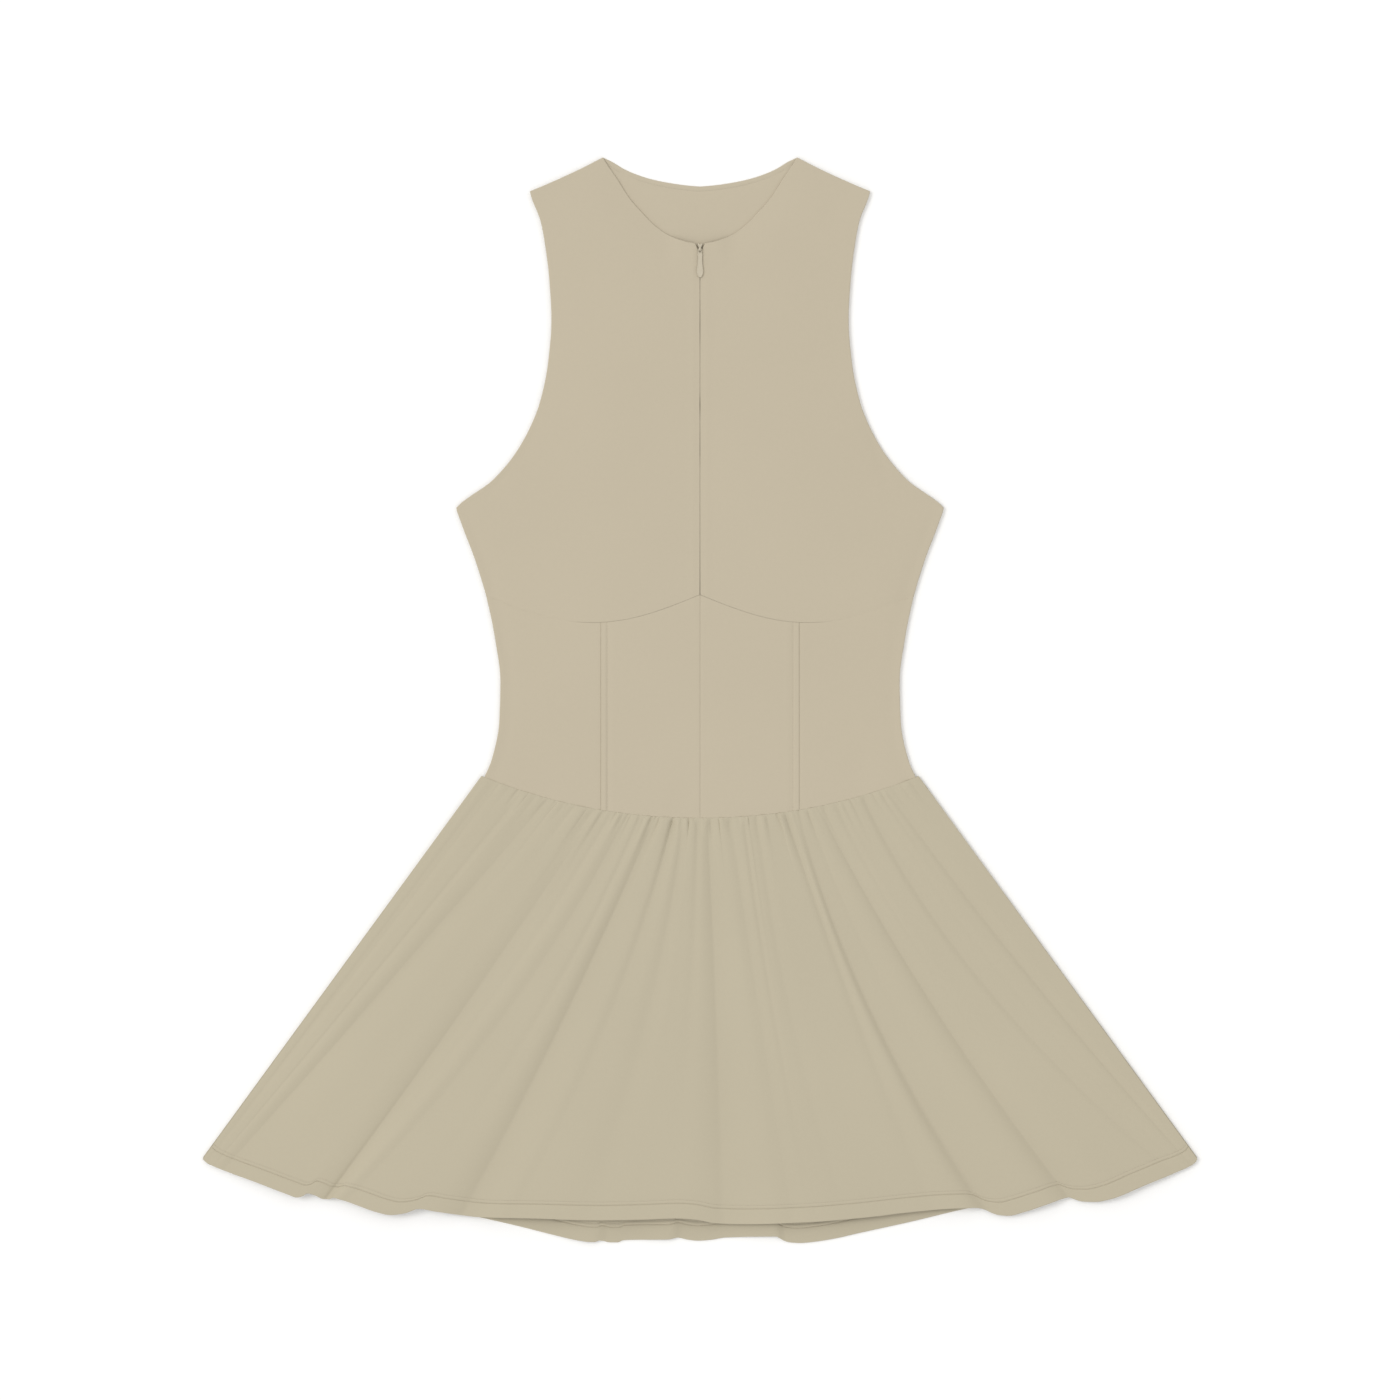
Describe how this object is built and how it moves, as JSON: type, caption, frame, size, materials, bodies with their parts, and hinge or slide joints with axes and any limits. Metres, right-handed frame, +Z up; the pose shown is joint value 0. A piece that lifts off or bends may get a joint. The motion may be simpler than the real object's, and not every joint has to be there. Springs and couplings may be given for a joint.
{
  "type": "tennis dress",
  "caption": "Sleeveless zip-front tennis dress with midriff panels and a gathered flared skirt, laid flat on its back.",
  "frame": {"origin": "on the floor, under the middle of the laid-out dress's outline", "axes": "+Y from the hem to the neck, +X to the viewer's right when the front is seen, +Z up from the floor, out of the front"},
  "size_m": [0.7754, 0.846, 0.0081],
  "materials": {
    "jersey": "matte smooth double-knit stretch jersey, pale khaki",
    "zip_tape": "matte woven tape, dyed to match",
    "zip_coil": "matte nylon coil",
    "zip_metal": "satin paint, dyed to match"
  },
  "bodies": {
    "dress": {"bodice_back": "jersey", "bodice_front_left": "jersey", "bodice_front_right": "jersey", "midriff_centre_left": "jersey", "midriff_centre_right": "jersey", "midriff_side_left": "jersey", "midriff_side_right": "jersey", "skirt_back": "jersey", "skirt_front": "jersey", "zip_tape_left": "zip_tape", "zip_tape_right": "zip_tape", "zip_coil": "zip_coil", "slider": "zip_metal"},
    "tab": {"pull_tab": "zip_metal"}
  },
  "joints": [
    {"name": "tab_hinge", "type": "hinge", "parent": "dress", "child": "tab", "pos_m": [0, 0.351, 0.00505], "axis": [-1, 0, 0], "range_deg": [0, 170]}
  ]
}
